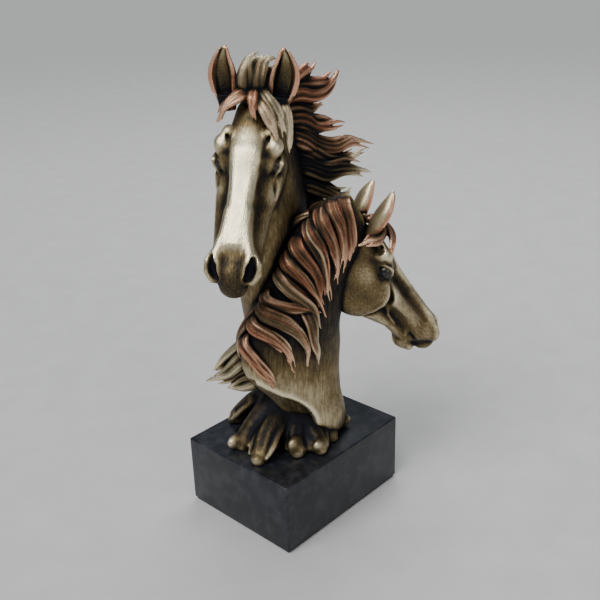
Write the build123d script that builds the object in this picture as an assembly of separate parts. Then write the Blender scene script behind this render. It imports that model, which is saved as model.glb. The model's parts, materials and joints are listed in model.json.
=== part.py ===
from build123d import *
from math import cos, sin, radians, sqrt
import os

# Two bronze horse busts, a stallion behind and a mare in front, on a black plinth.
# Row frame: origin at the centre of the pad's underside, +X along the plinth's long side
# towards the mare's muzzle, -Y towards the front, +Z up. Millimetres.

# ---------------------------------------------------------------- driving sizes
PLINTH_LONG, PLINTH_DEEP, PLINTH_TOP = 84.0, 68.0, 37.0
PLINTH_EDGE = 0.9            # rounding of the plinth's edges
PAD_THICK, PAD_INSET = 1.2, 1.0
SCREW_PLACES = [(-11.0, 11.0), (11.0, -8.0)]
SHANK_R, SHANK_HOLE_R, PILOT_R = 1.95, 2.25, 2.0
SCREW_HEAD_R, SCREW_HEAD_TALL, SOCKET_R = 3.5, 3.0, 1.6
WASHER_R, WASHER_THICK = 4.5, 0.8
POCKET_R, POCKET_TOP = 4.75, 20.0    # counterbore under the plinth, from below
SCREW_TIP_Z = 47.0                   # how far the screws reach into the root base

STALLION_HEAD_LONG, MARE_HEAD_LONG = 88.0, 84.0
EYE_R = 0.050                        # of the head's length
EAR_LONG = {"stallion": 24.0, "mare": 20.0}
SMALLEST_PIECE = 0.5                 # mm3; smaller offcuts of a trim are dropped

# neck sections: centre x, y, z, half depth, half width, forward tilt in degrees
MARE_NECK = [(2, -9, 42, 20, 14, -6), (-3, -8, 62, 23, 13, -8), (-8, -7, 84, 27, 13, 2),
             (-4, -10, 107, 22.5, 12.5, 20), (5.5, -13.5, 127, 20, 12, 38),
             (16, -17, 141, 18, 10.5, 55), (27, -20, 148, 13, 9, 68)]
STALLION_NECK = [(4, 12, 42, 17, 14, 0), (4, 11.5, 70, 19, 14, -3), (0, 11.5, 102, 23, 15, -2),
                 (2, 12, 132, 26, 16, 4), (8, 15, 160, 26, 15, 4), (8, 16, 184, 22, 12, -12),
                 (0, 13, 200, 14, 10, -40)]
MARE_HEADINGS = (-10.0, -28.0)       # at the neck's foot and at its poll
STALLION_HEADINGS = (-152.0, -152.0)

# head sections, as parts of the head's length: place from poll to muzzle,
# height of the face line, of the jaw line, half width
HEAD_SECTIONS = [(0.00, 0.00, -0.20, 0.100), (0.12, 0.03, -0.34, 0.150),
                 (0.25, 0.045, -0.42, 0.180), (0.37, 0.04, -0.46, 0.185),
                 (0.50, 0.02, -0.37, 0.150), (0.65, 0.00, -0.29, 0.115),
                 (0.80, -0.01, -0.255, 0.100), (0.92, -0.03, -0.27, 0.105),
                 (0.99, -0.09, -0.22, 0.060)]

whole = []                           # (untrimmed solid, [(point, radius) along it]) so far
made = {}                            # node name -> list of finished solids


# ---------------------------------------------------------------- small helpers
def vec(p):
    return Vector(*p)


def smooth(values, t):
    """Catmull-Rom through evenly spaced tuples, t from 0 to 1."""
    last = len(values) - 1
    s = min(max(t, 0.0), 1.0) * last
    i = min(int(s), last - 1)
    f = s - i
    p1, p2 = values[i], values[i + 1]
    p0 = values[i - 1] if i > 0 else [2 * a - b for a, b in zip(p1, p2)]
    p3 = values[i + 2] if i + 2 <= last else [2 * b - a for a, b in zip(p1, p2)]
    return [0.5 * (2 * b + (c - a) * f + (2 * a - 5 * b + 4 * c - d) * f ** 2
                   + (3 * b - a - 3 * c + d) * f ** 3)
            for a, b, c, d in zip(p0, p1, p2, p3)]


def neck_frame(sections, headings, t):
    x, y, z, deep, wide, tilt = smooth(sections, t)
    h = radians(headings[0] + (headings[1] - headings[0]) * t)
    k = radians(tilt)
    along = Vector(sin(k) * cos(h), sin(k) * sin(h), cos(k))
    crest = Vector(-cos(k) * cos(h), -cos(k) * sin(h), sin(k))
    return Vector(x, y, z), deep, wide, along, crest, along.cross(crest)


def on_neck(sections, headings, t, theta, lift):
    """A point on the neck's skin: theta 0 at the crest, 90 on one side, 180 at the throat."""
    centre, deep, wide, along, crest, side = neck_frame(sections, headings, t)
    c, s = cos(radians(theta)), sin(radians(theta))
    outward = (crest * (c * wide) + side * (s * deep)).normalized()
    return centre + crest * (c * deep) + side * (s * wide) + outward * lift


def oval(centre, x_way, z_way, half_x, half_y):
    """An oval face of four quarter curves, so that every loft joins its rings corner to corner."""
    plane = Plane(origin=centre, x_dir=x_way, z_dir=z_way)
    quarters = []
    for start in (0, 90, 180, 270):
        corners = [Vector(half_x * cos(radians(start + k)), half_y * sin(radians(start + k)), 0)
                   for k in (0, 18, 36, 54, 72, 90)]
        quarters.append(Edge.make_spline([plane.from_local_coords(p) for p in corners]))
    return Face(Wire(quarters))


def neck_body(sections, headings, rings=9):
    faces, spine = [], []
    for i in range(rings):
        centre, deep, wide, along, crest, side = neck_frame(sections, headings, i / (rings - 1))
        faces.append(oval(centre, crest, along, deep, wide))
        spine += [(centre + crest * (deep * k), wide * 1.05) for k in (-0.75, -0.4, 0, 0.4, 0.75)]
    return loft(faces), spine


class Head:
    """A horse's head: poll, length, heading and pitch of the face, roll about the face."""

    def __init__(self, poll, length, heading, pitch, roll):
        h, p, q = radians(heading), radians(pitch), radians(roll)
        ahead, up = Vector(cos(h), sin(h), 0), Vector(0, 0, 1)
        flat_left, flat_top = up.cross(ahead), ahead * sin(p) + up * cos(p)
        self.poll, self.length = vec(poll), length
        self.nose = ahead * cos(p) - up * sin(p)
        self.left = flat_left * cos(q) + flat_top * sin(q)
        self.top = flat_top * cos(q) - flat_left * sin(q)

    def at(self, x, y, z):
        return self.poll + (self.nose * x + self.left * y + self.top * z) * self.length

    def way(self, x, y, z):
        return (self.nose * x + self.left * y + self.top * z).normalized()

    def skull(self):
        faces, spine = [], []
        for x, high, low, half in HEAD_SECTIONS:
            centre, tall = self.at(x, 0, (high + low) / 2), (high - low) / 2 * self.length
            faces.append(oval(centre, self.left, self.nose, half * self.length, tall))
            spine.append((centre, max(tall, half * self.length) * 1.05))
        return loft(faces), spine


def strand(points, widths, flat, outward):
    """A tapering lock of hair: an oval, flat times as thick as wide, swept along points."""
    n = len(points)
    faces = []
    for i, p in enumerate(points):
        before, after = points[max(i - 1, 0)], points[min(i + 1, n - 1)]
        along = (after - before).normalized()
        across = along.cross(outward[i] if isinstance(outward, list) else outward).normalized()
        faces.append(oval(p, across, along, widths[i], widths[i] * flat))
    return loft(faces), list(zip(points, widths))


def taper(root, full, tip, count):
    """Half widths of a lock: root, swelling to full at a third, thinning to the tip."""
    out = []
    for i in range(count):
        u = i / (count - 1)
        out.append(root + (full - root) * u / 0.35 if u < 0.35
                   else full + (tip - full) * ((u - 0.35) / 0.65) ** 1.3)
    return out


def refine(points, count):
    values = [(p.X, p.Y, p.Z) for p in points]
    return [vec(smooth(values, i / (count - 1))) for i in range(count)]


def near(spine_a, spine_b):
    return any((p - q).length < r + k for p, r in spine_a for q, k in spine_b)


def place(name, *bodies):
    """Trim each new solid by every earlier one that it meets, then store it under the name."""
    kept = []
    for solid, spine in bodies:
        piece = solid
        for other, other_spine in whole:
            if piece is not None and near(spine, other_spine):
                parts = [s for s in (piece - other).solids() if s.volume > SMALLEST_PIECE]
                piece = max(parts, key=lambda s: s.volume) if parts else None
        whole.append((solid, spine))
        if piece is not None:
            kept.append(piece.solids()[0])
    made[name] = kept


# ---------------------------------------------------------------- plinth and fixings
def plinth():
    tall = PLINTH_TOP - PAD_THICK
    block = Pos(0, 0, PAD_THICK + tall / 2) * Box(PLINTH_LONG, PLINTH_DEEP, tall)
    block = fillet(block.edges(), PLINTH_EDGE)
    for x, y in SCREW_PLACES:
        deep = POCKET_TOP - PAD_THICK
        block -= Pos(x, y, PAD_THICK + deep / 2) * Cylinder(POCKET_R, deep)
        block -= Pos(x, y, PLINTH_TOP / 2) * Cylinder(SHANK_HOLE_R, PLINTH_TOP * 2)
    return block


def screw(x, y):
    head_top = POCKET_TOP - WASHER_THICK
    head = Pos(x, y, head_top - SCREW_HEAD_TALL / 2) * Cylinder(SCREW_HEAD_R, SCREW_HEAD_TALL)
    head -= Pos(x, y, head_top - SCREW_HEAD_TALL) * Cylinder(SOCKET_R, 3.2)
    shank_long = SCREW_TIP_Z - head_top
    return head + Pos(x, y, head_top + shank_long / 2) * Cylinder(SHANK_R, shank_long)


def washer(x, y):
    ring = Cylinder(WASHER_R, WASHER_THICK) - Cylinder(SHANK_HOLE_R, WASHER_THICK * 2)
    return Pos(x, y, POCKET_TOP - WASHER_THICK / 2) * ring


pad = Box(PLINTH_LONG - 2 * PAD_INSET, PLINTH_DEEP - 2 * PAD_INSET, PAD_THICK)
made["felt_pad"] = [Pos(0, 0, PAD_THICK / 2) * pad]
made["plinth_block"] = [plinth()]
made["fixing_screws"] = [screw(x, y) for x, y in SCREW_PLACES]
made["fixing_washers"] = [washer(x, y) for x, y in SCREW_PLACES]


# ---------------------------------------------------------------- root base
# rings of the base: centre x, y, z, half size along X, along Y
BASE_RINGS = [(0, 1, PLINTH_TOP, 24, 25), (0, 1, 41, 22, 24), (0, 1, 47, 20, 24), (1, 1, 53, 19, 23)]
# knuckle-like roots spreading on the plinth: foot x, y, and half width
ROOTS = [(-35, -11, 5.0), (-31, 5, 5.5), (-14, 29, 6.0), (5, 31, 5.5), (-22, -20, 5.0),
         (-8, -24, 5.5), (4, -23, 5.0), (18, -16, 5.5), (25, 2, 5.5), (20, 20, 6.0)]
ROOT_RISE = 49.0             # height at which the roots leave the base


def root(x, y, half):
    foot = Vector(x, y, PLINTH_TOP + half * 0.5)
    start = Vector(x * 0.45, y * 0.45, ROOT_RISE)
    middle = start + (foot - start) * 0.6 + Vector(0, 0, half * 0.35)
    beyond = foot + Vector(x, y, 0).normalized() * half * 0.8 - Vector(0, 0, half * 0.2)
    points = refine([start, middle, foot, beyond], 6)
    body, spine = strand(points, [half * k for k in (0.8, 1.0, 1.15, 1.2, 1.0, 0.35)], 0.85,
                         Vector(0, 0, 1))
    under = Pos(x, y, PLINTH_TOP - 15) * Box(80, 80, 30)
    return (body - under).solids()[0], spine


base = loft([Pos(x, y, z) * Ellipse(a, b) for x, y, z, a, b in BASE_RINGS])
for x, y in SCREW_PLACES:
    base -= Pos(x, y, PLINTH_TOP) * Cylinder(PILOT_R, (SCREW_TIP_Z - PLINTH_TOP) * 2 + 1)
place("root_base", (base, [(Vector(x, y, z), max(a, b)) for x, y, z, a, b in BASE_RINGS]))
place("spreading_roots", *[root(*r) for r in ROOTS])

# ---------------------------------------------------------------- necks
place("stallion_neck", neck_body(STALLION_NECK, STALLION_HEADINGS))
place("mare_neck", neck_body(MARE_NECK, MARE_HEADINGS))

# ---------------------------------------------------------------- heads, eyes and ears
STALLION = Head((-6.3, 11.3, 206.0), STALLION_HEAD_LONG, -152, 51, -5)
MARE = Head((26.0, -19.5, 150.0), MARE_HEAD_LONG, -28, 53, 0)
EYE_PLACE = {"stallion": (0.335, 0.145, -0.09), "mare": (0.325, 0.145, -0.09)}
NOSTRIL_PLACE, NOSTRIL_R = (0.90, 0.115, -0.11), 0.040
# ear: base place on the head, direction, direction its opening faces (head frame)
EARS = {"stallion": ((0.04, 0.135, -0.02), (-0.80, 0.10, 0.60), (0.55, 0.15, 0.80)),
        "mare": ((0.10, 0.120, 0.00), (-0.43, 0.12, 0.90), (0.70, 0.55, 0.30))}
# ear sections: height, half width, half thickness (parts of the ear's length), lean outwards
EAR_RINGS = [(-0.12, 0.15, 0.15, 0.0), (0.18, 0.22, 0.19, 0.01), (0.45, 0.26, 0.17, 0.03),
             (0.72, 0.19, 0.12, 0.02), (0.92, 0.08, 0.06, -0.02), (1.00, 0.03, 0.03, -0.05)]


def eyes(head, who):
    x, y, z = EYE_PLACE[who]
    size = EYE_R * head.length
    centres = [head.at(x, y * side, z) for side in (1, -1)]
    return [(Pos(p.X, p.Y, p.Z) * Sphere(size), [(p, size)]) for p in centres]


def ear(head, who, side):
    (bx, by, bz), up_way, open_way = EARS[who]
    long = EAR_LONG[who]
    base_at = head.at(bx, by * side, bz)
    up = head.way(up_way[0], up_way[1] * side, up_way[2])
    front = head.way(open_way[0], open_way[1] * side, open_way[2])
    front = (front - up * front.dot(up)).normalized()
    across = up.cross(front)
    out = across if across.dot(head.left * side) > 0 else across * -1
    shell, hollow, spine = [], [], []
    for h, wide, thick, lean in EAR_RINGS:
        centre = base_at + up * (h * long) + out * (lean * long)
        shell.append(oval(centre, across, up, wide * long, thick * long))
        spine.append((centre, wide * long))
        if 0.1 < h < 0.95:
            inner = centre + front * (thick * long * 0.75)
            hollow.append(oval(inner, across, up, wide * long * 0.66, thick * long * 0.95))
    return loft(shell) - loft(hollow), spine


for who, head in (("stallion", STALLION), ("mare", MARE)):
    place(who + "_eyes", *eyes(head, who))
    skull, skull_spine = head.skull()
    for side in (1, -1):
        p = head.at(NOSTRIL_PLACE[0], NOSTRIL_PLACE[1] * side, NOSTRIL_PLACE[2])
        skull -= Pos(p.X, p.Y, p.Z) * Sphere(NOSTRIL_R * head.length)
    place(who + "_head", (skull, skull_spine))
    place(who + "_left_ear", ear(head, who, 1))
    place(who + "_right_ear", ear(head, who, -1))


# ---------------------------------------------------------------- forelocks and topknot
# each strand: points in the head's frame (parts of its length), full half width in mm
FORELOCKS = {
    "stallion_forelock": (STALLION, [
        ([(-0.04, 0.00, 0.03), (0.05, -0.08, 0.07), (0.12, -0.16, 0.03), (0.15, -0.22, -0.04)], 4.2),
        ([(-0.02, -0.02, 0.03), (0.09, -0.06, 0.07), (0.17, -0.11, 0.055), (0.22, -0.17, 0.01)], 3.0),
        ([(-0.02, 0.02, 0.03), (0.08, 0.04, 0.07), (0.18, 0.08, 0.065), (0.28, 0.13, 0.03)], 3.2),
        ([(-0.03, 0.03, 0.03), (0.06, 0.09, 0.06), (0.17, 0.15, 0.035), (0.32, 0.20, -0.02)], 3.6),
        ([(-0.04, 0.04, 0.02), (0.03, 0.13, 0.04), (0.12, 0.19, 0.00), (0.24, 0.22, -0.07)], 3.4)]),
    "stallion_topknot": (STALLION, [
        ([(0.03, -0.02, 0.02), (-0.05, -0.03, 0.08), (-0.12, -0.02, 0.10), (-0.19, 0.03, 0.08)], 3.4),
        ([(0.03, 0.03, 0.02), (-0.06, 0.03, 0.07), (-0.13, 0.05, 0.08), (-0.19, 0.10, 0.04)], 3.2),
        ([(0.02, 0.06, 0.00), (-0.05, 0.07, 0.04), (-0.11, 0.08, 0.04), (-0.16, 0.12, 0.00)], 2.8)]),
    "mare_forelock": (MARE, [
        ([(0.04, -0.06, 0.00), (0.09, -0.11, 0.04), (0.10, -0.16, 0.00), (0.06, -0.19, -0.09)], 3.0),
        ([(0.06, -0.02, 0.01), (0.13, -0.05, 0.06), (0.19, -0.09, 0.06), (0.26, -0.13, 0.03)], 3.0),
        ([(0.05, 0.03, 0.01), (0.12, 0.05, 0.06), (0.19, 0.08, 0.06), (0.27, 0.11, 0.03)], 2.8),
        ([(0.03, 0.08, 0.00), (0.08, 0.12, 0.04), (0.09, 0.16, -0.01), (0.05, 0.19, -0.10)], 2.8)]),
}
for name, (head, strands) in FORELOCKS.items():
    place(name, *[strand(refine([head.at(*p) for p in pts], 6), taper(wide * 0.6, wide, 0.5, 6), 0.62,
                         head.top) for pts, wide in strands])

# ---------------------------------------------------------------- the stallion's wind-swept mane
# points in the row frame, full half width; the first point is rooted in the neck
STALLION_LOCKS = {
    "stallion_crown_lock": ([(8, 16, 203), (17, 11, 207), (26, 9, 206), (34, 7, 206), (40, 6, 209),
                             (43, 6, 213)], 5.5),
    "stallion_crown_hook": ([(10, 15, 205), (19, 10, 210), (26, 9, 213), (32, 10, 216)], 3.0),
    "stallion_temple_lock": ([(9, 15, 197), (19, 11, 197), (28, 10, 195), (36, 8, 197)], 4.2),
    "stallion_upper_lock": ([(11, 14, 191), (20, 9, 190), (28, 8, 187), (38, 7, 185), (48, 5, 187)], 4.6),
    "stallion_long_lock": ([(10, 15, 186), (18, 8, 183), (27, 7, 178), (37, 4, 175), (48, 1, 175),
                            (59, -5, 171)], 5.6),
    "stallion_under_lock": ([(11, 15, 179), (21, 7, 177), (31, 4, 171), (41, 1, 169), (48, -1, 171),
                             (55, -3, 174)], 4.2),
    "stallion_middle_lock": ([(10, 15, 172), (19, 6, 170), (28, 2, 166), (38, -2, 166), (47, -5, 163),
                              (53, -7, 158)], 5.0),
    "stallion_side_lock": ([(10, 14, 163), (18, 5, 162), (27, 2, 157), (36, -1, 154), (43, -2, 156)], 4.6),
    "stallion_lower_lock": ([(10, 14, 156), (17, 6, 154), (26, 3, 149), (35, 1, 145)], 4.4),
    "stallion_nape_lock": ([(12, 14, 150), (18, 9, 149), (24, 8, 143), (31, 4, 137)], 4.0),
    "stallion_back_lock_1": ([(12, 20, 202), (21, 23, 201), (31, 22, 197), (41, 18, 198)], 5.0),
    "stallion_back_lock_2": ([(15, 22, 190), (25, 26, 188), (36, 24, 182), (47, 18, 181)], 5.4),
    "stallion_back_lock_3": ([(18, 23, 176), (29, 27, 173), (40, 24, 166), (51, 17, 164)], 5.6),
    "stallion_back_lock_4": ([(20, 23, 161), (31, 27, 157), (42, 23, 149), (51, 16, 146)], 5.6),
    "stallion_back_lock_5": ([(20, 22, 145), (30, 26, 140), (40, 22, 131), (47, 16, 127)], 5.4),
    "stallion_back_lock_6": ([(16, 20, 126), (25, 24, 120), (33, 22, 109), (37, 18, 102)], 5.0),
}
for name, (points, wide) in STALLION_LOCKS.items():
    line = refine([vec(p) for p in points], 7)
    place(name, strand(line, taper(wide * 0.7, wide, 0.6, 7), 0.55, Vector(0.3, -0.95, 0.1)))

# ---------------------------------------------------------------- the mare's combed mane
# stations on the mare's neck: (place along the neck, angle from the crest), full half width
MARE_LOCKS = {
    "mare_poll_lock": ([(0.97, 35), (0.90, 66), (0.82, 86), (0.74, 100), (0.66, 106)], 3.6),
    "mare_cheek_lock": ([(0.93, 26), (0.85, 56), (0.77, 80), (0.68, 98), (0.58, 104)], 3.8),
    "mare_upper_lock": ([(0.88, 16), (0.80, 46), (0.71, 72), (0.62, 92), (0.55, 100)], 4.0),
    "mare_crest_lock": ([(0.82, 8), (0.73, 38), (0.65, 64), (0.58, 86), (0.52, 98)], 4.2),
    "mare_middle_lock": ([(0.74, 6), (0.66, 34), (0.60, 58), (0.56, 78), (0.51, 98)], 4.2),
    "mare_sweep_lock": ([(0.66, 6), (0.59, 30), (0.54, 52), (0.50, 72), (0.45, 86)], 4.2),
    "mare_side_lock": ([(0.58, 4), (0.51, 28), (0.47, 50), (0.43, 70), (0.34, 88)], 4.4),
    "mare_shoulder_lock": ([(0.51, 2), (0.45, 22), (0.41, 42), (0.37, 60), (0.31, 74)], 4.2),
    "mare_lower_lock": ([(0.44, 0), (0.40, 18), (0.36, 36), (0.31, 50), (0.27, 60)], 4.0),
    "mare_throat_lock": ([(0.60, 84), (0.53, 94), (0.46, 98), (0.38, 96), (0.30, 86)], 3.2),
    "mare_far_lock_1": ([(0.92, -20), (0.84, -50), (0.75, -78), (0.66, -98)], 5.0),
    "mare_far_lock_2": ([(0.80, -10), (0.71, -42), (0.62, -70), (0.53, -92)], 5.4),
    "mare_far_lock_3": ([(0.50, -4), (0.40, -28), (0.32, -50), (0.24, -70)], 5.2),
}
LOCK_LIFT = 0.9
for name, (stations, wide) in MARE_LOCKS.items():
    angles = [smooth(stations, i / 6) for i in range(7)]
    line = [on_neck(MARE_NECK, MARE_HEADINGS, t, a, LOCK_LIFT) for t, a in angles]
    out = [(p - on_neck(MARE_NECK, MARE_HEADINGS, t, a, -4)).normalized()
           for p, (t, a) in zip(line, angles)]
    place(name, strand(line, taper(wide * 0.7, wide, 0.6, 7), 0.6, out))

# the lock that curls away behind the mare's shoulder, in three tongues
FLICK = {
    "mare_flick_lock": ([(-14, 2, 88), (-22, 8, 82), (-28, 16, 75), (-33, 23, 66)], 6.5),
    "mare_flick_upper": ([(-12, 6, 95), (-20, 11, 88), (-26, 18, 80), (-31, 25, 71)], 4.0),
    "mare_flick_lower": ([(-14, 0, 78), (-20, 5, 73), (-25, 12, 69), (-29, 18, 64)], 4.5),
}
for name, (points, wide) in FLICK.items():
    line = refine([vec(p) for p in points], 6)
    place(name, strand(line, taper(wide * 0.8, wide, 0.6, 6), 0.5, Vector(0.7, 0.7, 0.3)))

# ---------------------------------------------------------------- write one STEP per sub-part
os.makedirs("parts", exist_ok=True)
for name, solids in made.items():
    shape = solids[0] if len(solids) == 1 else Compound(children=list(solids))
    export_step(shape, "parts/" + name + ".step")
    print(name, len(solids), round(sum(s.volume for s in solids), 1),
          all(s.is_valid for s in solids))
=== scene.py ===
import bpy
import json
import numpy as np
import openvdb
from math import cos, sin, radians
from mathutils import Matrix, Vector

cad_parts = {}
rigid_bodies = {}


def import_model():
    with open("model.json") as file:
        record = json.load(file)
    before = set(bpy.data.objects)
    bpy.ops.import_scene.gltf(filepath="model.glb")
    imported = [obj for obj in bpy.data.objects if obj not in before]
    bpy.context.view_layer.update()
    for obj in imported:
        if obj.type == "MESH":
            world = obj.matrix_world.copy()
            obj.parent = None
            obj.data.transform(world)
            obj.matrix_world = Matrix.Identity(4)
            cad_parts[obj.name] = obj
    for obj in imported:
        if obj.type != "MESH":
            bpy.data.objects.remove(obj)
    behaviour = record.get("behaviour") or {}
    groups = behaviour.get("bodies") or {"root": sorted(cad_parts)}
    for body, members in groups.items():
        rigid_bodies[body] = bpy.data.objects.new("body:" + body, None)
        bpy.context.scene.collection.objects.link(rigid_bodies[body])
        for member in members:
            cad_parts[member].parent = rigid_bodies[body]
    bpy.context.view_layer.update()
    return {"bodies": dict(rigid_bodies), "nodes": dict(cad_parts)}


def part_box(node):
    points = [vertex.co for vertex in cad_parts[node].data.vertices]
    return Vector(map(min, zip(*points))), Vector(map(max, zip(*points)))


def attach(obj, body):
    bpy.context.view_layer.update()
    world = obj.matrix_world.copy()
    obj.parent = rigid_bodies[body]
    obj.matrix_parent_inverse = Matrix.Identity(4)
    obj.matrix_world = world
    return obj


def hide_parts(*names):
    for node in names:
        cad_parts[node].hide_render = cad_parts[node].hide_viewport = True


# Two bronze horse busts on a black plinth. Shapes are worked out in millimetres in the row
# frame (origin under the plinth, +X along its long side, +Z up) and turned to metres at the end.
for leftover in list(bpy.data.objects):
    bpy.data.objects.remove(leftover)
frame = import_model()
BODY = next(iter(frame["bodies"]))
MM = 0.001

# ---------------------------------------------------------------- sizes and places, mm
FINE, COARSE, PATINA_CELL = 0.42, 0.55, 0.8     # clay cell sizes
PLINTH_TOP = 37.0
PLINTH_EDGE = 0.9

# neck sections: centre x, y, z, half depth, half width, forward tilt in degrees
MARE_NECK = [(6, -10, 42, 15, 13, -4), (1, -8.5, 63, 18.5, 13, -10), (-7, -7, 84, 26.5, 13, 0),
             (-4, -10, 107, 22.5, 12.5, 20), (5.5, -13.5, 127, 20, 12, 38),
             (16, -17, 141, 18, 10.5, 55), (27, -20, 148, 13, 9, 68)]
STALLION_NECK = [(5, 11, 42, 16, 13, 0), (5, 11, 70, 18, 13, -3), (1, 11, 102, 23, 15, -2),
                 (2, 12, 132, 26, 16, 4), (8, 15, 160, 26, 15, 4), (8, 16, 184, 22, 12, -12),
                 (0, 13, 200, 14, 10, -40)]
MARE_HEADINGS = (-10.0, -28.0)
STALLION_HEADINGS = (-152.0, -152.0)


# ---------------------------------------------------------------- vectors and curves
def unit(v):
    v = np.asarray(v, float)
    return v / np.maximum(np.linalg.norm(v, axis=-1, keepdims=True), 1e-9)


def smooth(values, t):
    """Catmull-Rom through evenly spaced rows; t is one number or an array, 0 to 1."""
    v = np.asarray(values, float)
    last = len(v) - 1
    s = np.clip(np.atleast_1d(t), 0, 1) * last
    i = np.minimum(s.astype(int), last - 1)
    f = (s - i)[:, None]
    padded = np.vstack([2 * v[0] - v[1], v, 2 * v[-1] - v[-2]])
    p0, p1, p2, p3 = padded[i], padded[i + 1], padded[i + 2], padded[i + 3]
    return 0.5 * (2 * p1 + (p2 - p0) * f + (2 * p0 - 5 * p1 + 4 * p2 - p3) * f ** 2
                  + (3 * p1 - p0 - 3 * p2 + p3) * f ** 3)


def chance(*seeds):
    """A repeatable number from 0 to 1 for these seeds."""
    return float(np.modf(abs(sin(sum((k + 1.37) * s * 12.9898 for k, s in enumerate(seeds)) + 4.1)
                             * 43758.5453))[0])


class Neck:
    """A neck's skin: t runs up it, theta is 0 at the crest, 90 on one side, 180 at the throat."""

    def __init__(self, sections, headings):
        self.sections, self.headings = sections, headings

    def frame(self, t):
        row = smooth(self.sections, t)
        h = np.radians(self.headings[0] + (self.headings[1] - self.headings[0]) * np.atleast_1d(t))
        k = np.radians(row[:, 5])
        along = np.stack([np.sin(k) * np.cos(h), np.sin(k) * np.sin(h), np.cos(k)], 1)
        crest = np.stack([-np.cos(k) * np.cos(h), -np.cos(k) * np.sin(h), np.sin(k)], 1)
        return row[:, :3], row[:, 3:4], row[:, 4:5], along, crest, np.cross(along, crest)

    def skin(self, t, theta, lift=0.0):
        centre, deep, wide, along, crest, side = self.frame(t)
        c, s = np.cos(np.radians(theta))[:, None], np.sin(np.radians(theta))[:, None]
        out = unit(crest * (c * wide) + side * (s * deep))
        lift = np.reshape(np.broadcast_to(lift, (len(c),)), (-1, 1))
        return centre + crest * (c * deep) + side * (s * wide) + out * lift, out


class Head:
    """A horse's head: x from poll to muzzle, y to its left, z up from the face, in head lengths."""

    def __init__(self, poll, length, heading, pitch, roll):
        h, p, q = radians(heading), radians(pitch), radians(roll)
        ahead, up = np.array([cos(h), sin(h), 0]), np.array([0, 0, 1.0])
        flat_left, flat_top = np.cross(up, ahead), ahead * sin(p) + up * cos(p)
        self.poll, self.length = np.array(poll, float), length
        self.nose = ahead * cos(p) - up * sin(p)
        self.left = flat_left * cos(q) + flat_top * sin(q)
        self.top = flat_top * cos(q) - flat_left * sin(q)
        self.axes = np.array([self.nose, self.left, self.top])

    def at(self, x, y, z):
        return self.poll + (self.nose * x + self.left * y + self.top * z) * self.length

    def beside(self, place, side):
        """The place, or its mirror image when side is -1."""
        return self.at(place[0], place[1] * side, place[2])

    def way(self, x, y, z):
        return unit(self.nose * x + self.left * y + self.top * z)


STALLION = Head((-6.3, 11.3, 206.0), 88.0, -150, 51, -5)
MARE = Head((26.0, -19.5, 150.0), 84.0, -28, 53, 0)
stallion_neck = Neck(STALLION_NECK, STALLION_HEADINGS)
mare_neck = Neck(MARE_NECK, MARE_HEADINGS)


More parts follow.
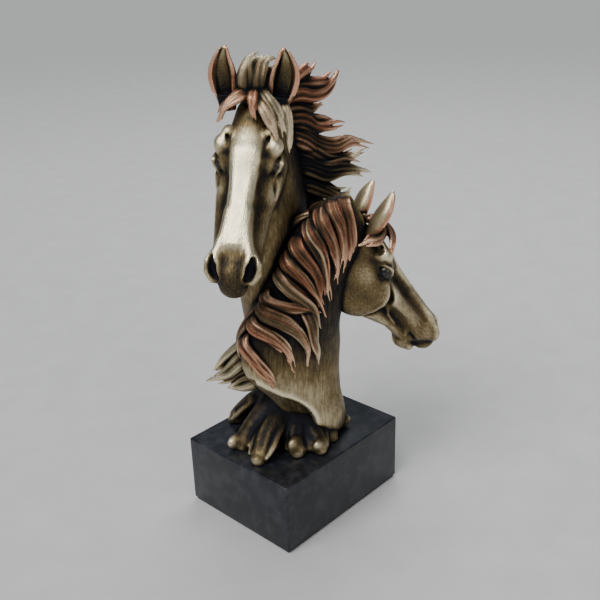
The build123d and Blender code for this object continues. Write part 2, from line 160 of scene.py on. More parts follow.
# ---------------------------------------------------------------- clay: a signed distance block
class Clay:
    """A block of modelling clay: distances to the surface on a grid, negative inside."""

    def __init__(self, low, high, cell):
        self.low, self.cell = np.array(low, float), cell
        count = np.ceil((np.array(high, float) - self.low) / cell).astype(int) + 1
        self.d = np.full(count, 30.0, np.float32)

    def window(self, low, high):
        size = np.array(self.d.shape)
        a = np.clip(np.floor((np.array(low) - self.low) / self.cell).astype(int), 0, size)
        b = np.clip(np.ceil((np.array(high) - self.low) / self.cell).astype(int) + 1, 0, size)
        lines = [(self.low[k] + np.arange(a[k], b[k]) * self.cell).astype(np.float32) for k in range(3)]
        where = tuple(slice(a[k], b[k]) for k in range(3))
        return where, np.stack(np.meshgrid(*lines, indexing="ij"), -1)

    def mix(self, where, d, soft, cut):
        """Adds, or cuts away, a shape, with a fillet about soft mm wide."""
        old = self.d[where]
        a, b = (-old, d) if cut else (old, d)
        if soft > 0:
            h = np.clip(0.5 + 0.5 * (a - b) / soft, 0, 1)
            new = a + (b - a) * h - soft * h * (1 - h)
        else:
            new = np.minimum(a, b)
        self.d[where] = -new if cut else new

    def lump(self, centre, radii, axes=np.eye(3), soft=0.0, cut=False):
        centre, radii = np.asarray(centre, float), np.asarray(radii, float)
        reach = np.abs(axes.T) @ radii + soft + 3 * self.cell
        where, p = self.window(centre - reach, centre + reach)
        if p.size == 0:
            return
        q = (p - centre.astype(np.float32)) @ axes.T.astype(np.float32)
        k0 = np.linalg.norm(q / radii.astype(np.float32), axis=-1)
        k1 = np.maximum(np.linalg.norm(q / (radii ** 2).astype(np.float32), axis=-1), 1e-6)
        self.mix(where, k0 * (k0 - 1) / k1, soft, cut)

    def limb(self, points, radii, soft=0.0, cut=False):
        """A bent rod of changing radius."""
        points = np.asarray(points, float)
        reach = max(radii) + soft + 3 * self.cell
        where, p = self.window(points.min(0) - reach, points.max(0) + reach)
        if p.size == 0:
            return
        best = None
        for a, b, ra, rb in zip(points[:-1], points[1:], radii[:-1], radii[1:]):
            line = b - a
            h = np.clip(((p - a.astype(np.float32)) @ line.astype(np.float32)) / max(line @ line, 1e-9),
                        0, 1)
            off = p - a.astype(np.float32) - h[..., None] * line.astype(np.float32)
            d = np.linalg.norm(off, axis=-1) - (ra + (rb - ra) * h)
            best = d if best is None else np.minimum(best, d)
        self.mix(where, best, soft, cut)

    def bar(self, a, b, side, half_a, half_b, thick, rounding, soft=0.0):
        """A tapering rounded bar from a to b: half widths half_a, half_b along side."""
        a, b = np.asarray(a, float), np.asarray(b, float)
        line = unit(b - a)
        side = unit(side - line * (side @ line))
        up = np.cross(line, side)
        reach = max(half_a, half_b) + thick + soft + 3 * self.cell
        where, p = self.window(np.minimum(a, b) - reach, np.maximum(a, b) + reach)
        long = np.linalg.norm(b - a)
        q = p - a.astype(np.float32)
        s, v, w = q @ line.astype(np.float32), q @ side.astype(np.float32), q @ up.astype(np.float32)
        half = half_a + (half_b - half_a) * np.clip(s / long, 0, 1)
        e = np.stack([np.abs(s - long / 2) - long / 2, np.abs(v) - half, np.abs(w) - thick], -1) + rounding
        d = np.linalg.norm(np.maximum(e, 0), axis=-1) + np.minimum(e.max(-1), 0) - rounding
        self.mix(where, d, soft, False)

    def add_mesh(self, points, quads, soft=0.0):
        """Adds a closed mesh; overlapping closed parts are taken as one."""
        band = 4.0
        grid = openvdb.FloatGrid.createLevelSetFromPolygons(
            ((points - self.low) / self.cell).astype(np.float32), quads=quads.astype(np.uint32),
            transform=openvdb.createLinearTransform(voxelSize=1.0), halfWidth=band)
        dense = np.empty(self.d.shape, np.float32)
        grid.copyToArray(dense, ijk=(0, 0, 0))
        self.mix((slice(None),) * 3, dense * self.cell, soft, False)

    def soften(self, times=1):
        for _ in range(times):
            for k in range(3):
                self.d = (np.roll(self.d, 1, k) + 2 * self.d + np.roll(self.d, -1, k)) / 4

    def mesh(self):
        grid = openvdb.FloatGrid()
        edge = 4 * self.cell
        grid.background = edge
        block = np.clip(self.d, -edge, edge)
        for k in range(3):
            ends = [slice(None)] * 3
            for place in (0, -1):
                ends[k] = place
                block[tuple(ends)] = edge
        grid.copyFromArray(block)
        points, quads = grid.convertToQuads(0.0)
        return self.low + points.astype(float) * self.cell, quads.astype(int)


def tube(rings):
    """Closed quad mesh over rings of points, shape (n, m, 3); end caps are fans of thin quads."""
    n, m = rings.shape[:2]
    points = np.vstack([rings.reshape(-1, 3), rings[0].mean(0), rings[-1].mean(0)])
    i, j = np.meshgrid(np.arange(n - 1), np.arange(m), indexing="ij")
    k = (j + 1) % m
    quads = np.stack([i * m + j, i * m + k, (i + 1) * m + k, (i + 1) * m + j], -1).reshape(-1, 4)
    pairs = np.arange(0, m, 2)
    first, last = n * m, n * m + 1
    caps = [[first, (j + 2) % m, j + 1, j] for j in pairs]
    caps += [[last, (n - 1) * m + j, (n - 1) * m + j + 1, (n - 1) * m + (j + 2) % m] for j in pairs]
    return points, np.vstack([quads, caps])


def joined(meshes):
    points, quads, start = [], [], 0
    for p, q in meshes:
        points.append(p)
        quads.append(q + start)
        start += len(p)
    return np.vstack(points), np.vstack(quads)


# ---------------------------------------------------------------- hair
RING = 12                     # points round one strand
STRAND_RINGS = 26
HAIR_ACROSS, HAIR_ALONG = 1.5, 0.07    # how finely hair lines run across and along a strand


def strand(path, outward, wide, thick, tip=0.25, peak=0.32, root=0.55):
    """One pointed strand of hair: a ridge-backed blade swept along path."""
    n = len(path)
    u = np.linspace(0, 1, n)
    along = unit(np.gradient(path, axis=0))
    across = unit(np.cross(along, outward))
    out = np.cross(across, along)
    fall = np.clip((u - peak) / (1 - peak), 0, 1) ** 1.7
    swell = np.where(u < peak, root + (1 - root) * np.sin(u / peak * np.pi / 2),
                     (1 - fall) * (1 - tip / wide) + tip / wide)
    angle = np.linspace(0, 2 * np.pi, RING, endpoint=False)
    x = np.cos(angle) * wide
    y = np.sign(np.sin(angle)) * np.abs(np.sin(angle)) ** 1.5 * thick
    rings = (path[:, None] + across[:, None] * (x[None, :, None] * swell[:, None, None])
             + out[:, None] * (y[None, :, None] * swell[:, None, None]))
    return (*tube(rings), path, across)


def lock(path, outward, wide, strands, seed, fan=0.35, curl=0.0, ragged=0.22, thick=0.62, root=0.55):
    """A lock: strands side by side along path that part and end at different lengths."""
    n = STRAND_RINGS
    u = np.linspace(0, 1, n)
    line = smooth(path, u)
    outs = unit(smooth(outward, u))
    along = unit(np.gradient(line, axis=0))
    across = unit(np.cross(along, outs))
    outs = np.cross(across, along)
    made = []
    for k in range(strands):
        place = (k + 0.5) / strands * 2 - 1 if strands > 1 else 0.0
        wobble = chance(seed, k) - 0.5
        reach = 1 - ragged * (abs(place) ** 1.3) * (0.6 + 0.8 * chance(seed, k, 2)) + 0.04 * wobble
        spread = wide * place * (0.66 + fan * u ** 1.5) * (1 - 0.72 * u ** 2.2)
        wave = wide * 0.16 * np.sin((u * 1.6 + chance(seed, k, 3)) * 2 * np.pi) * u
        bow = wide * (0.18 * (1 - place ** 2) + 0.16 * wobble)
        hook = curl * wide * np.maximum(u - 0.6, 0) ** 2 * 4 * (0.6 + 0.8 * chance(seed, k, 4))
        p = line + across * (spread + wave + hook)[:, None] + outs * bow
        p = smooth(p, u * reach)
        o = smooth(outs + across * place * 0.5, u * reach)
        half = wide / strands * (1.25 + 0.45 * chance(seed, k, 5))
        made.append(strand(p, o, half, half * thick + wide * 0.10, root=root))
    return made


def hair_flow(points, strands, tints):
    """For each point: where it is across and along its nearest strand, and that strand's tint."""
    best = np.full(len(points), 1e9)
    flow, tint = np.zeros((len(points), 3)), np.zeros(len(points))
    for number, ((_, _, line, across), value) in enumerate(zip(strands, tints)):
        away = ((points[:, None] - line[None]) ** 2).sum(-1)
        i = away.argmin(1)
        away = away[np.arange(len(points)), i]
        travelled = np.append(0, np.cumsum(np.linalg.norm(np.diff(line, axis=0), axis=1)))
        side = ((points - line[i]) * across[i]).sum(1)
        take = away < best
        best[take] = away[take]
        flow[take] = np.stack([side * HAIR_ACROSS, travelled[i] * HAIR_ALONG,
                               np.full(len(points), number * 5.3)], 1)[take]
        tint[take] = value
    return flow, tint


# ---------------------------------------------------------------- the heads
# Lumps in head lengths: centre, radii along nose, left and top, fillet. y above 0 is done on
# both sides. They build up the skull from the poll to the lips.
SKULL = [
    ((0.10, 0.000, -0.110), (0.150, 0.105, 0.115), 0.03),      # braincase
    ((0.26, 0.000, -0.085), (0.180, 0.125, 0.100), 0.05),      # forehead
    ((0.330, 0.080, -0.262), (0.185, 0.082, 0.175), 0.025),    # cheek
    ((0.26, 0.060, -0.200), (0.150, 0.080, 0.140), 0.05),      # behind the cheek
    ((0.30, 0.110, -0.075), (0.085, 0.048, 0.050), 0.03),      # eye arch
    ((0.260, 0.130, -0.047), (0.062, 0.048, 0.046), 0.018),    # brow knob
    ((0.210, 0.104, -0.022), (0.042, 0.038, 0.030), 0.018),    # knob above it
    ((0.90, 0.000, -0.135), (0.110, 0.078, 0.092), 0.05),      # muzzle
    ((0.965, 0.000, -0.165), (0.055, 0.068, 0.065), 0.03),     # upper lip
    ((0.885, 0.085, -0.100), (0.078, 0.052, 0.066), 0.03),     # nostril wing
    ((0.895, 0.000, -0.262), (0.060, 0.052, 0.035), 0.03),     # lower lip
    ((0.850, 0.000, -0.285), (0.050, 0.045, 0.034), 0.03),     # chin
]
HOLLOWS = [
    ((0.190, 0.150, -0.055), (0.040, 0.026, 0.030), 0.03),     # behind the brow
    ((0.600, 0.118, -0.070), (0.130, 0.020, 0.018), 0.05),     # beside the nose bone
    ((0.660, 0.130, -0.225), (0.110, 0.026, 0.030), 0.05),     # along the bars of the jaw
    ((0.340, 0.178, -0.100), (0.052, 0.040, 0.036), 0.02),     # eye socket
]
EYE_PLACE, EYE_SIZE, EYE_STANDS_OUT = (0.338, 0.138, -0.098), 0.043, 0.002
LID_THICK = 0.009
# Bars from the forehead to the nostrils: ends, half widths at the ends, half thickness, rounding.
NOSE_BARS = [((0.28, 0, -0.048), (0.82, 0, -0.075), 0.080, 0.050, 0.052, 0.040),
             ((0.50, 0, -0.125), (0.88, 0, -0.130), 0.088, 0.070, 0.062, 0.055)]
BAR_FILLET = 0.05
# Rods: points, radii, fillet. FOLDS build on the hollowed skull, and the ones marked True are cut.
BONES = [
    # ridge from the nose bone down to each nostril wing
    ([(0.62, 0.052, -0.052), (0.74, 0.062, -0.052), (0.82, 0.080, -0.055), (0.86, 0.092, -0.058)],
     (0.020, 0.024, 0.028, 0.026), 0.035, False),
    # jaw bars and the gap between them
    ([(0.34, 0.062, -0.350), (0.48, 0.056, -0.315), (0.66, 0.045, -0.262), (0.84, 0.030, -0.245)],
     (0.065, 0.052, 0.036, 0.034), 0.03, False),
    ([(0.30, 0.085, -0.200), (0.50, 0.072, -0.165), (0.68, 0.060, -0.150), (0.84, 0.050, -0.150)],
     (0.09, 0.082, 0.074, 0.068), 0.05, False),
]
CHEEK_FOLDS = [
    # cheek bone ridge, from under the eye towards the mouth
    ([(0.38, 0.150, -0.150), (0.46, 0.132, -0.150), (0.56, 0.108, -0.155), (0.66, 0.092, -0.155)],
     (0.018, 0.020, 0.015, 0.008), 0.03, False),
    # the groove in front of the cheek, and the cheek's raised front edge
    ([(0.43, 0.155, -0.120), (0.505, 0.135, -0.175), (0.535, 0.118, -0.245), (0.500, 0.098, -0.345)],
     (0.010, 0.018, 0.022, 0.014), 0.022, True),
    ([(0.455, 0.138, -0.175), (0.495, 0.126, -0.225), (0.490, 0.108, -0.290), (0.445, 0.090, -0.355)],
     (0.012, 0.016, 0.016, 0.012), 0.018, False),
]
FACE_FOLDS = [
    # lids: an arched upper one and a flatter lower one
    ([(0.392, 0.136, -0.118), (0.372, 0.162, -0.084), (0.338, 0.176, -0.066), (0.300, 0.168, -0.080),
      (0.272, 0.148, -0.106)], (0.008, LID_THICK, 0.012, LID_THICK, 0.008), 0.008, False),
    ([(0.396, 0.134, -0.120), (0.368, 0.156, -0.132), (0.338, 0.166, -0.138), (0.300, 0.158, -0.130),
      (0.272, 0.146, -0.110)], (0.008, 0.007, 0.008, 0.007, 0.006), 0.010, False),
    # dark fold between the lid and the brow knob
    ([(0.390, 0.150, -0.072), (0.345, 0.176, -0.050), (0.300, 0.180, -0.056), (0.270, 0.172, -0.074)],
     (0.007, 0.009, 0.009, 0.007), 0.008, True),
    # folds between the two brow knobs and beside the forehead
    ([(0.205, 0.135, -0.030), (0.235, 0.105, -0.008), (0.290, 0.088, 0.000)],
     (0.007, 0.008, 0.005), 0.010, True),
    # nostrils: deep slanting holes that open forwards, with a soft outer rim
    ([(0.860, 0.104, -0.046), (0.900, 0.100, -0.056), (0.945, 0.084, -0.085)],
     (0.018, 0.029, 0.024), 0.012, True),
    ([(0.870, 0.128, -0.075), (0.915, 0.126, -0.100), (0.950, 0.100, -0.125)],
     (0.013, 0.016, 0.014), 0.02, False),
    # mouth line with fleshy corners
    ([(1.00, 0.030, -0.222), (0.93, 0.072, -0.222), (0.86, 0.082, -0.214), (0.80, 0.082, -0.206)],
     (0.009, 0.010, 0.009, 0.005), 0.008, True),
    ([(0.84, 0.080, -0.180), (0.785, 0.080, -0.190), (0.770, 0.076, -0.214), (0.80, 0.068, -0.238)],
     (0.008, 0.010, 0.010, 0.008), 0.014, False),
]
LIP_GAP = [(1.0, -0.03, -0.222), (1.0, 0.03, -0.222)], (0.009, 0.009), 0.008, True
VEIN, VEIN_FILLET = 0.005, 0.012
VEINS = [  # on the cheek and nose
    [(0.44, 0.115, -0.205), (0.54, 0.100, -0.215), (0.62, 0.094, -0.190), (0.70, 0.090, -0.14)],
    [(0.52, 0.104, -0.200), (0.60, 0.090, -0.240), (0.68, 0.080, -0.245)],
]


def sculpt_head(head):
    long = head.length
    corners = np.array([head.at(x, y, z) for x in (-0.10, 1.06) for y in (-0.25, 0.25)
                        for z in (-0.50, 0.12)])
    clay = Clay(corners.min(0), corners.max(0), FINE)

    def limb(points, radii, soft, cut, sides=(1, -1)):
        for side in sides:
            clay.limb([head.at(x, y * side, z) for x, y, z in points], [r * long for r in radii],
                      soft * long, cut)

    def lump(centre, radii, soft, cut=False):
        for side in (1, -1) if centre[1] > 0 else (1,):
            clay.lump(head.beside(centre, side), np.array(radii) * long, head.axes, soft * long, cut)

    for piece in SKULL:
        lump(*piece)
    for a, b, half_a, half_b, thick, rounding in NOSE_BARS:
        clay.bar(head.at(*a), head.at(*b), head.left, half_a * long, half_b * long, thick * long,
                 rounding * long, BAR_FILLET * long)
    for bone in BONES:
        limb(*bone)
    for hollow in HOLLOWS:
        lump(*hollow, cut=True)
    for fold in CHEEK_FOLDS:
        limb(*fold)
    lump(EYE_PLACE, [EYE_SIZE] * 3, 0.0)
    for fold in FACE_FOLDS:
        limb(*fold)
    limb(*LIP_GAP, sides=(1,))
    for path in VEINS:
        limb(path, (VEIN,) * len(path), VEIN_FILLET, False)
    clay.soften()
    return clay


# ---------------------------------------------------------------- ears
# height, half width, half thickness, lean outwards, all in ear lengths
EAR_RINGS = [(-0.16, 0.15, 0.15, 0.00), (0.02, 0.18, 0.17, 0.00), (0.20, 0.235, 0.18, 0.01),
             (0.42, 0.265, 0.165, 0.03), (0.62, 0.235, 0.135, 0.035), (0.80, 0.150, 0.095, 0.01),
             (0.93, 0.070, 0.055, -0.03), (1.00, 0.025, 0.025, -0.06)]
EAR_SIDES = 40


EAR_CELL, EAR_ROOM = 0.34, 3
EAR_FIRST_CUP, EAR_LAST_CUP = 0.10, 0.94       # heights between which the ear is hollow


def ear_frame(head, side, base, up_way, open_way):
    """Foot of the ear, and its up, front and across directions."""
    up = head.way(up_way[0], up_way[1] * side, up_way[2])
    front = head.way(open_way[0], open_way[1] * side, open_way[2])
    front = unit(front - up * (front @ up))
    return head.beside(base, side), up, front, np.cross(up, front)


def sculpt_ear(head, side, base, up_way, open_way, long):
    foot, up, front, across = ear_frame(head, side, base, up_way, open_way)
    out = across if across @ (head.left * side) > 0 else -across
    angle = np.linspace(0, 2 * np.pi, EAR_SIDES, endpoint=False)
    shell, cup = [], []
    for h, wide, thick, lean in smooth(EAR_RINGS, np.linspace(0, 1, 30)):
        centre = foot + up * (h * long) + out * (lean * long)
        wide, thick = max(wide, 0.02) * long, max(thick, 0.02) * long
        shell.append(centre + across * (np.cos(angle) * wide)[:, None]
                     + front * (np.sin(angle) * thick)[:, None])
        if EAR_FIRST_CUP < h < EAR_LAST_CUP:
            inner = centre + front * (thick * 0.80)
            cup.append(inner + across * (np.cos(angle) * wide * 0.70)[:, None]
                       + front * (np.sin(angle) * thick * 1.15)[:, None])
    points, quads = tube(np.array(shell))
    clay = Clay(points.min(0) - EAR_ROOM, points.max(0) + EAR_ROOM, EAR_CELL)
    clay.add_mesh(points, quads)
    # curled rim on both edges
    for edge in (1, -1):
        rim = [foot + up * (h * long) + out * (lean * long) + across * (edge * w * long * 0.92)
               + front * (t * long * 0.42) for h, w, t, lean in EAR_RINGS[2:7]]
        clay.limb(smooth(rim, np.linspace(0, 1, 14)), [long * 0.030] * 14, 0.6)
    hole = Clay(clay.low, points.max(0) + EAR_ROOM, EAR_CELL)
    hole.add_mesh(*tube(np.array(cup)))
    clay.mix((slice(None),) * 3, hole.d, 0.5, True)
    return clay


def ear_cup_shade_and_rim(head, side, base, up_way, open_way, long):
    """Painted shade inside the ear's cup, and copper on its rim and front."""
    foot, up, front, across = ear_frame(head, side, base, up_way, open_way)

    def place(points):
        q = (points - foot) / long
        wide = np.interp(q @ up, [r[0] for r in EAR_RINGS], [r[1] for r in EAR_RINGS])
        return np.abs(q @ across) / np.maximum(wide, 0.03), q @ front

    def inside(points):
        spread, forward = place(points)
        # painted shade inside the cup
        return -0.60 * np.clip((0.72 - spread) / 0.15, 0, 1) * np.clip((forward + 0.02) / 0.04, 0, 1)

    def rim(points):
        spread, forward = place(points)
        return np.clip((spread - 0.55) / 0.25, 0, 1) * np.clip((forward + 0.04) / 0.05, 0, 1)

    return inside, rim


# ---------------------------------------------------------------- necks
NECK_RINGS, NECK_SIDES = 70, 72


def neck_mesh(neck, t0=0.0, t1=1.0):
    theta = np.linspace(0, 360, NECK_SIDES, endpoint=False)
    rings = []
    for v in np.linspace(t0, t1, NECK_RINGS):
        flank = np.sin(np.radians(theta)) ** 2
        lift = flank * (0.7 * np.sin(v * 9 + np.radians(theta) * 2) - 0.4)
        rings.append(neck.skin(np.full(len(theta), v), theta, lift)[0])
    return tube(np.array(rings))


def on_neck_path(neck, stations, lift, count=STRAND_RINGS):
    """Points and outward directions along stations (t, theta) on a neck, with lift in mm."""
    rows = smooth(stations, np.linspace(0, 1, count))
    return neck.skin(rows[:, 0], rows[:, 1], lift)


def clay_round(meshes, cell, room=2.5):
    points, quads = joined(meshes)
    clay = Clay(points.min(0) - room, points.max(0) + room, cell)
    clay.add_mesh(points, quads)
    return clay


# ---------------------------------------------------------------- finished pieces
made = []                     # one dict for each finished piece


def finish_piece(name, clay_or_mesh, nodes, material, flow=None, tint=None, paint=None):
    """Keeps a piece: flow gives the hair direction, tint its copper, paint its painted highlights and
    painted shade, and lighter or darker locks.
    """
    points, quads = clay_or_mesh.mesh() if isinstance(clay_or_mesh, Clay) else clay_or_mesh
    made.append({"name": name, "points": points, "quads": quads, "nodes": nodes, "material": material,
                 "flow": points * 0.8 if flow is None else flow(points),
                 "tint": np.zeros(len(points)) if tint is None else tint(points),
                 "paint": np.zeros(len(points)) if paint is None else paint(points)})


def finish_hair(strands, node, tints, light=0.0):
    clay = clay_round([(p, q) for p, q, _, _ in strands], FINE)
    points, quads = clay.mesh()
    flow, tint = hair_flow(points, strands, tints)
    finish_piece(node + "_strands", (points, quads), [node], "hair", lambda _: flow, lambda _: tint,
                 lambda p: np.full(len(p), light))


# painted highlights on the brow knobs, nose ridges and cheek, and painted shade round the eyes, in the
# nostrils, at the muzzle, on the forehead and in the grooves beside the nose bone: centre, reach (head
# lengths), amount
HEAD_LIGHT_AND_SHADE = [((0.26, 0.140, -0.030), 0.050, 0.30), ((0.78, 0.085, -0.045), 0.065, 0.26),
              ((0.50, 0.140, -0.130), 0.055, 0.12), ((0.99, 0.000, -0.120), 0.130, -0.30),
              ((0.335, 0.170, -0.105), 0.042, -0.38), ((0.55, 0.110, -0.085), 0.050, -0.14),
              ((0.905, 0.098, -0.070), 0.032, -0.55), ((0.17, 0.000, 0.020), 0.070, -0.10),
              ((0.32, 0.103, 0.000), 0.026, -0.34), ((0.40, 0.093, -0.015), 0.026, -0.26),
              ((0.24, 0.100, 0.010), 0.020, -0.20)]
# a pale painted highlight along the nose bone, where the metal reflects the bright sky
NOSE_HIGHLIGHT = 0.38


def head_light_and_shade(head):
    def paint(points):
        x, y, z = (((points - head.poll) @ head.axes.T) / head.length).T
        total = np.zeros(len(points))
        # painted highlights and painted shade from the table above
        for (cx, cy, cz), reach, amount in HEAD_LIGHT_AND_SHADE:
            away = ((x - cx) ** 2 + (np.abs(y) - cy) ** 2 + (z - cz) ** 2) / reach ** 2
            total += amount * np.exp(-away)
        # painted highlight along the nose bone
        top_line = 0.006 - 0.05 * np.clip(x - 0.3, 0, 1)
        half = 0.080 - 0.055 * np.clip(x - 0.3, 0, 0.6)
        on_nose = (np.clip((half + 0.006 - np.abs(y)) / 0.015, 0, 1)
                   * np.clip((z - top_line + 0.045) / 0.02, 0, 1)
                   * np.clip((x - 0.15) / 0.10, 0, 1) * np.clip((0.88 - x) / 0.12, 0, 1))
        return total + NOSE_HIGHLIGHT * on_nose
    return paint


def head_flow(head):
    return lambda points: ((points - head.poll) @ head.axes.T) * np.array([0.45, 1.6, 1.6])


# heads
for who, head in (("stallion", STALLION), ("mare", MARE)):
    finish_piece(f"{who}_head_cast", sculpt_head(head), [f"{who}_head"], "bronze", head_flow(head),
                 paint=head_light_and_shade(head))

EARS = {"stallion": (STALLION, (0.04, 0.135, -0.02), (-0.80, 0.10, 0.60), (0.55, 0.15, 0.80), 24.0),
        "mare": (MARE, (0.10, 0.120, 0.00), (-0.43, 0.12, 0.90), (0.85, 0.05, 0.25), 20.0)}
for who, (head, base, up_way, open_way, long) in EARS.items():
    for side, word in ((1, "left"), (-1, "right")):
        inside, rim = ear_cup_shade_and_rim(head, side, base, up_way, open_way, long)
        finish_piece(f"{who}_{word}_ear_cast", sculpt_ear(head, side, base, up_way, open_way, long),
                     [f"{who}_{word}_ear"], "ear", head_flow(head), tint=rim, paint=inside)

# eyes: glossy balls set in the lids
EYE_ROOM, EYE_CELL = 34, 0.4
for who, head in (("stallion", STALLION), ("mare", MARE)):
    eyes = Clay(head.at(*EYE_PLACE) - EYE_ROOM, head.at(*EYE_PLACE) + EYE_ROOM, EYE_CELL)
    for side in (1, -1):
        eyes.lump(head.beside(EYE_PLACE, side), [(EYE_SIZE + EYE_STANDS_OUT) * head.length] * 3)
    finish_piece(f"{who}_eyes_cast", eyes, [f"{who}_eyes"], "eye")

NECK_GRAIN = np.array([0.95, 0.95, 0.13])


def neck_grain(points):
    return points * NECK_GRAIN


def stallion_neck_shade(points):
    """Painted shade: darker high up at the back, under the mane."""
    return -0.28 * np.clip((points[:, 0] - 2) / 10, 0, 1) * np.clip((points[:, 2] - 95) / 30, 0, 1)


neck = clay_round([neck_mesh(stallion_neck)], COARSE)
finish_piece("stallion_neck_cast", neck, ["stallion_neck"], "bronze", neck_grain, paint=stallion_neck_shade)

# the mare's chest: it swells to the plinth in front, and its torn edge overhangs a hollow behind
EDGE_STATIONS = [(0.29, 24), (0.26, 34), (0.23, 42), (0.21, 52), (0.15, 64), (0.09, 68), (0.03, 64)]
neck = clay_round([neck_mesh(mare_neck)], COARSE, room=6)
neck.lump((7, -14, 47), (11, 9.5, 13), soft=5)
EDGE_POINTS = 30
edge_line, edge_out = on_neck_path(mare_neck, EDGE_STATIONS, 0.0, EDGE_POINTS)
under = unit(np.cross(np.gradient(edge_line, axis=0), edge_out))
under *= np.sign(under @ np.array([-0.6, 0.3, -0.8]))[:, None]
# rods along the edge: mm under it, mm out of the skin, radius, fillet
for below, outside, radius, soft, cut in ((4.6, 0.5, 4.4, 1.4, True), (9.0, -0.5, 5.0, 2.0, True),
                                          (0.0, -0.6, 1.5, 1.6, False)):
    neck.limb(edge_line + under * below + edge_out * outside, [radius] * EDGE_POINTS, soft, cut)
neck.soften()


def mare_neck_light_and_shade(points):
    """Painted highlight along the edge and, more broadly, near it, and painted shade darker upwards under
    the mane.
    """
    away = np.linalg.norm(points[:, None] - edge_line[None], axis=-1).min(1)
    return (0.16 * np.exp(-(away / 2.6) ** 2) + 0.20 * np.exp(-(away / 13.0) ** 2)
            - 0.20 * np.clip((points[:, 2] - 72) / 30, 0, 1))


finish_piece("mare_neck_cast", neck, ["mare_neck"], "bronze", neck_grain, paint=mare_neck_light_and_shade)

# ---------------------------------------------------------------- the stallion's mane
# path in the row frame, half width, strands, curl of the tips, copper tint
STALLION_LOCKS = {
    "crown_lock": ([(8, 16, 202), (17, 11, 205), (26, 9, 204), (34, 7, 205), (40, 6, 208),
                             (43, 6, 213)], 7.8, 4, 0.4, 0.95),
    "crown_hook": ([(10, 15, 205), (19, 10, 210), (26, 9, 213), (32, 10, 216)], 4.8, 3, 0.4, 0.95),
    "temple_lock": ([(9, 15, 197), (19, 11, 197), (28, 10, 195), (36, 8, 197)], 6.2, 4, 0.3, 0.6),
    "upper_lock": ([(10, 15, 192), (20, 10, 191), (28, 9, 187), (38, 7, 186), (48, 5, 186)],
                            6.8, 4, 0.4, 0.85),
    "long_lock": ([(10, 15, 186), (18, 8, 183), (27, 7, 178), (37, 4, 175), (48, 1, 175),
                            (59, -5, 171)], 7.8, 5, -0.5, 0.6),
    "under_lock": ([(11, 15, 179), (21, 7, 177), (31, 4, 171), (41, 1, 169), (48, -1, 171),
                             (55, -3, 174)], 6.2, 4, 0.5, 0.35),
    "middle_lock": ([(10, 15, 172), (19, 6, 170), (28, 2, 166), (38, -2, 166), (47, -5, 163),
                              (53, -7, 158)], 7.2, 5, -0.5, 0.2),
    "side_lock": ([(10, 14, 163), (18, 5, 162), (27, 2, 157), (36, -1, 154), (43, -2, 156)],
                           6.8, 5, 0.3, 0.0),
    "lower_lock": ([(10, 14, 156), (17, 6, 154), (26, 3, 149), (35, 1, 145)], 6.6, 5, 0.2, 0.0),
    "nape_lock": ([(12, 14, 150), (18, 9, 149), (24, 8, 143), (31, 4, 137)], 6.4, 4, 0.2, 0.0),
    "back_lock_1": ([(12, 20, 202), (21, 23, 201), (31, 22, 197), (41, 18, 198)], 7.0, 4, 0.4, 0.9),
    "back_lock_2": ([(15, 22, 190), (25, 26, 188), (36, 24, 182), (47, 18, 181)], 7.6, 5, 0.4, 0.7),
    "back_lock_3": ([(18, 23, 176), (29, 27, 173), (40, 24, 166), (51, 17, 164)], 7.8, 5, 0.4, 0.6),
    "back_lock_4": ([(20, 23, 161), (31, 27, 157), (42, 23, 149), (51, 16, 146)], 7.8, 5, 0.3, 0.5),
    "back_lock_5": ([(20, 22, 145), (30, 26, 140), (40, 22, 131), (47, 16, 127)], 7.6, 5, 0.3, 0.4),
    "back_lock_6": ([(16, 20, 126), (25, 24, 120), (33, 22, 109), (37, 18, 102)], 7.0, 5, 0.2, 0.3),
}
SIDE_WAY = (0.3, -0.95, 0.1)
RUBBED_HAIR, DARKER_HAIR, FLICK_HAIR = 0.03, -0.12, 0.16    # light added to a lock
COPPER_SHARE = 0.3                                        # locks with less copper are made darker


def strand_tints(copper, strands, seed, spread=0.5):
    return [min(max(copper + spread * (chance(seed, k, 9) - 0.5), 0), 1) for k in range(strands)]


for number, (name, (path, wide, strands, curl, copper)) in enumerate(STALLION_LOCKS.items()):
    hairs = lock(path, [SIDE_WAY] * len(path), wide, strands, number + 1, fan=0.25, curl=curl,
                 ragged=0.24, thick=0.85, root=0.95)
    finish_hair(hairs, f"stallion_{name}", strand_tints(copper, strands, number),
                RUBBED_HAIR if copper > COPPER_SHARE else DARKER_HAIR)

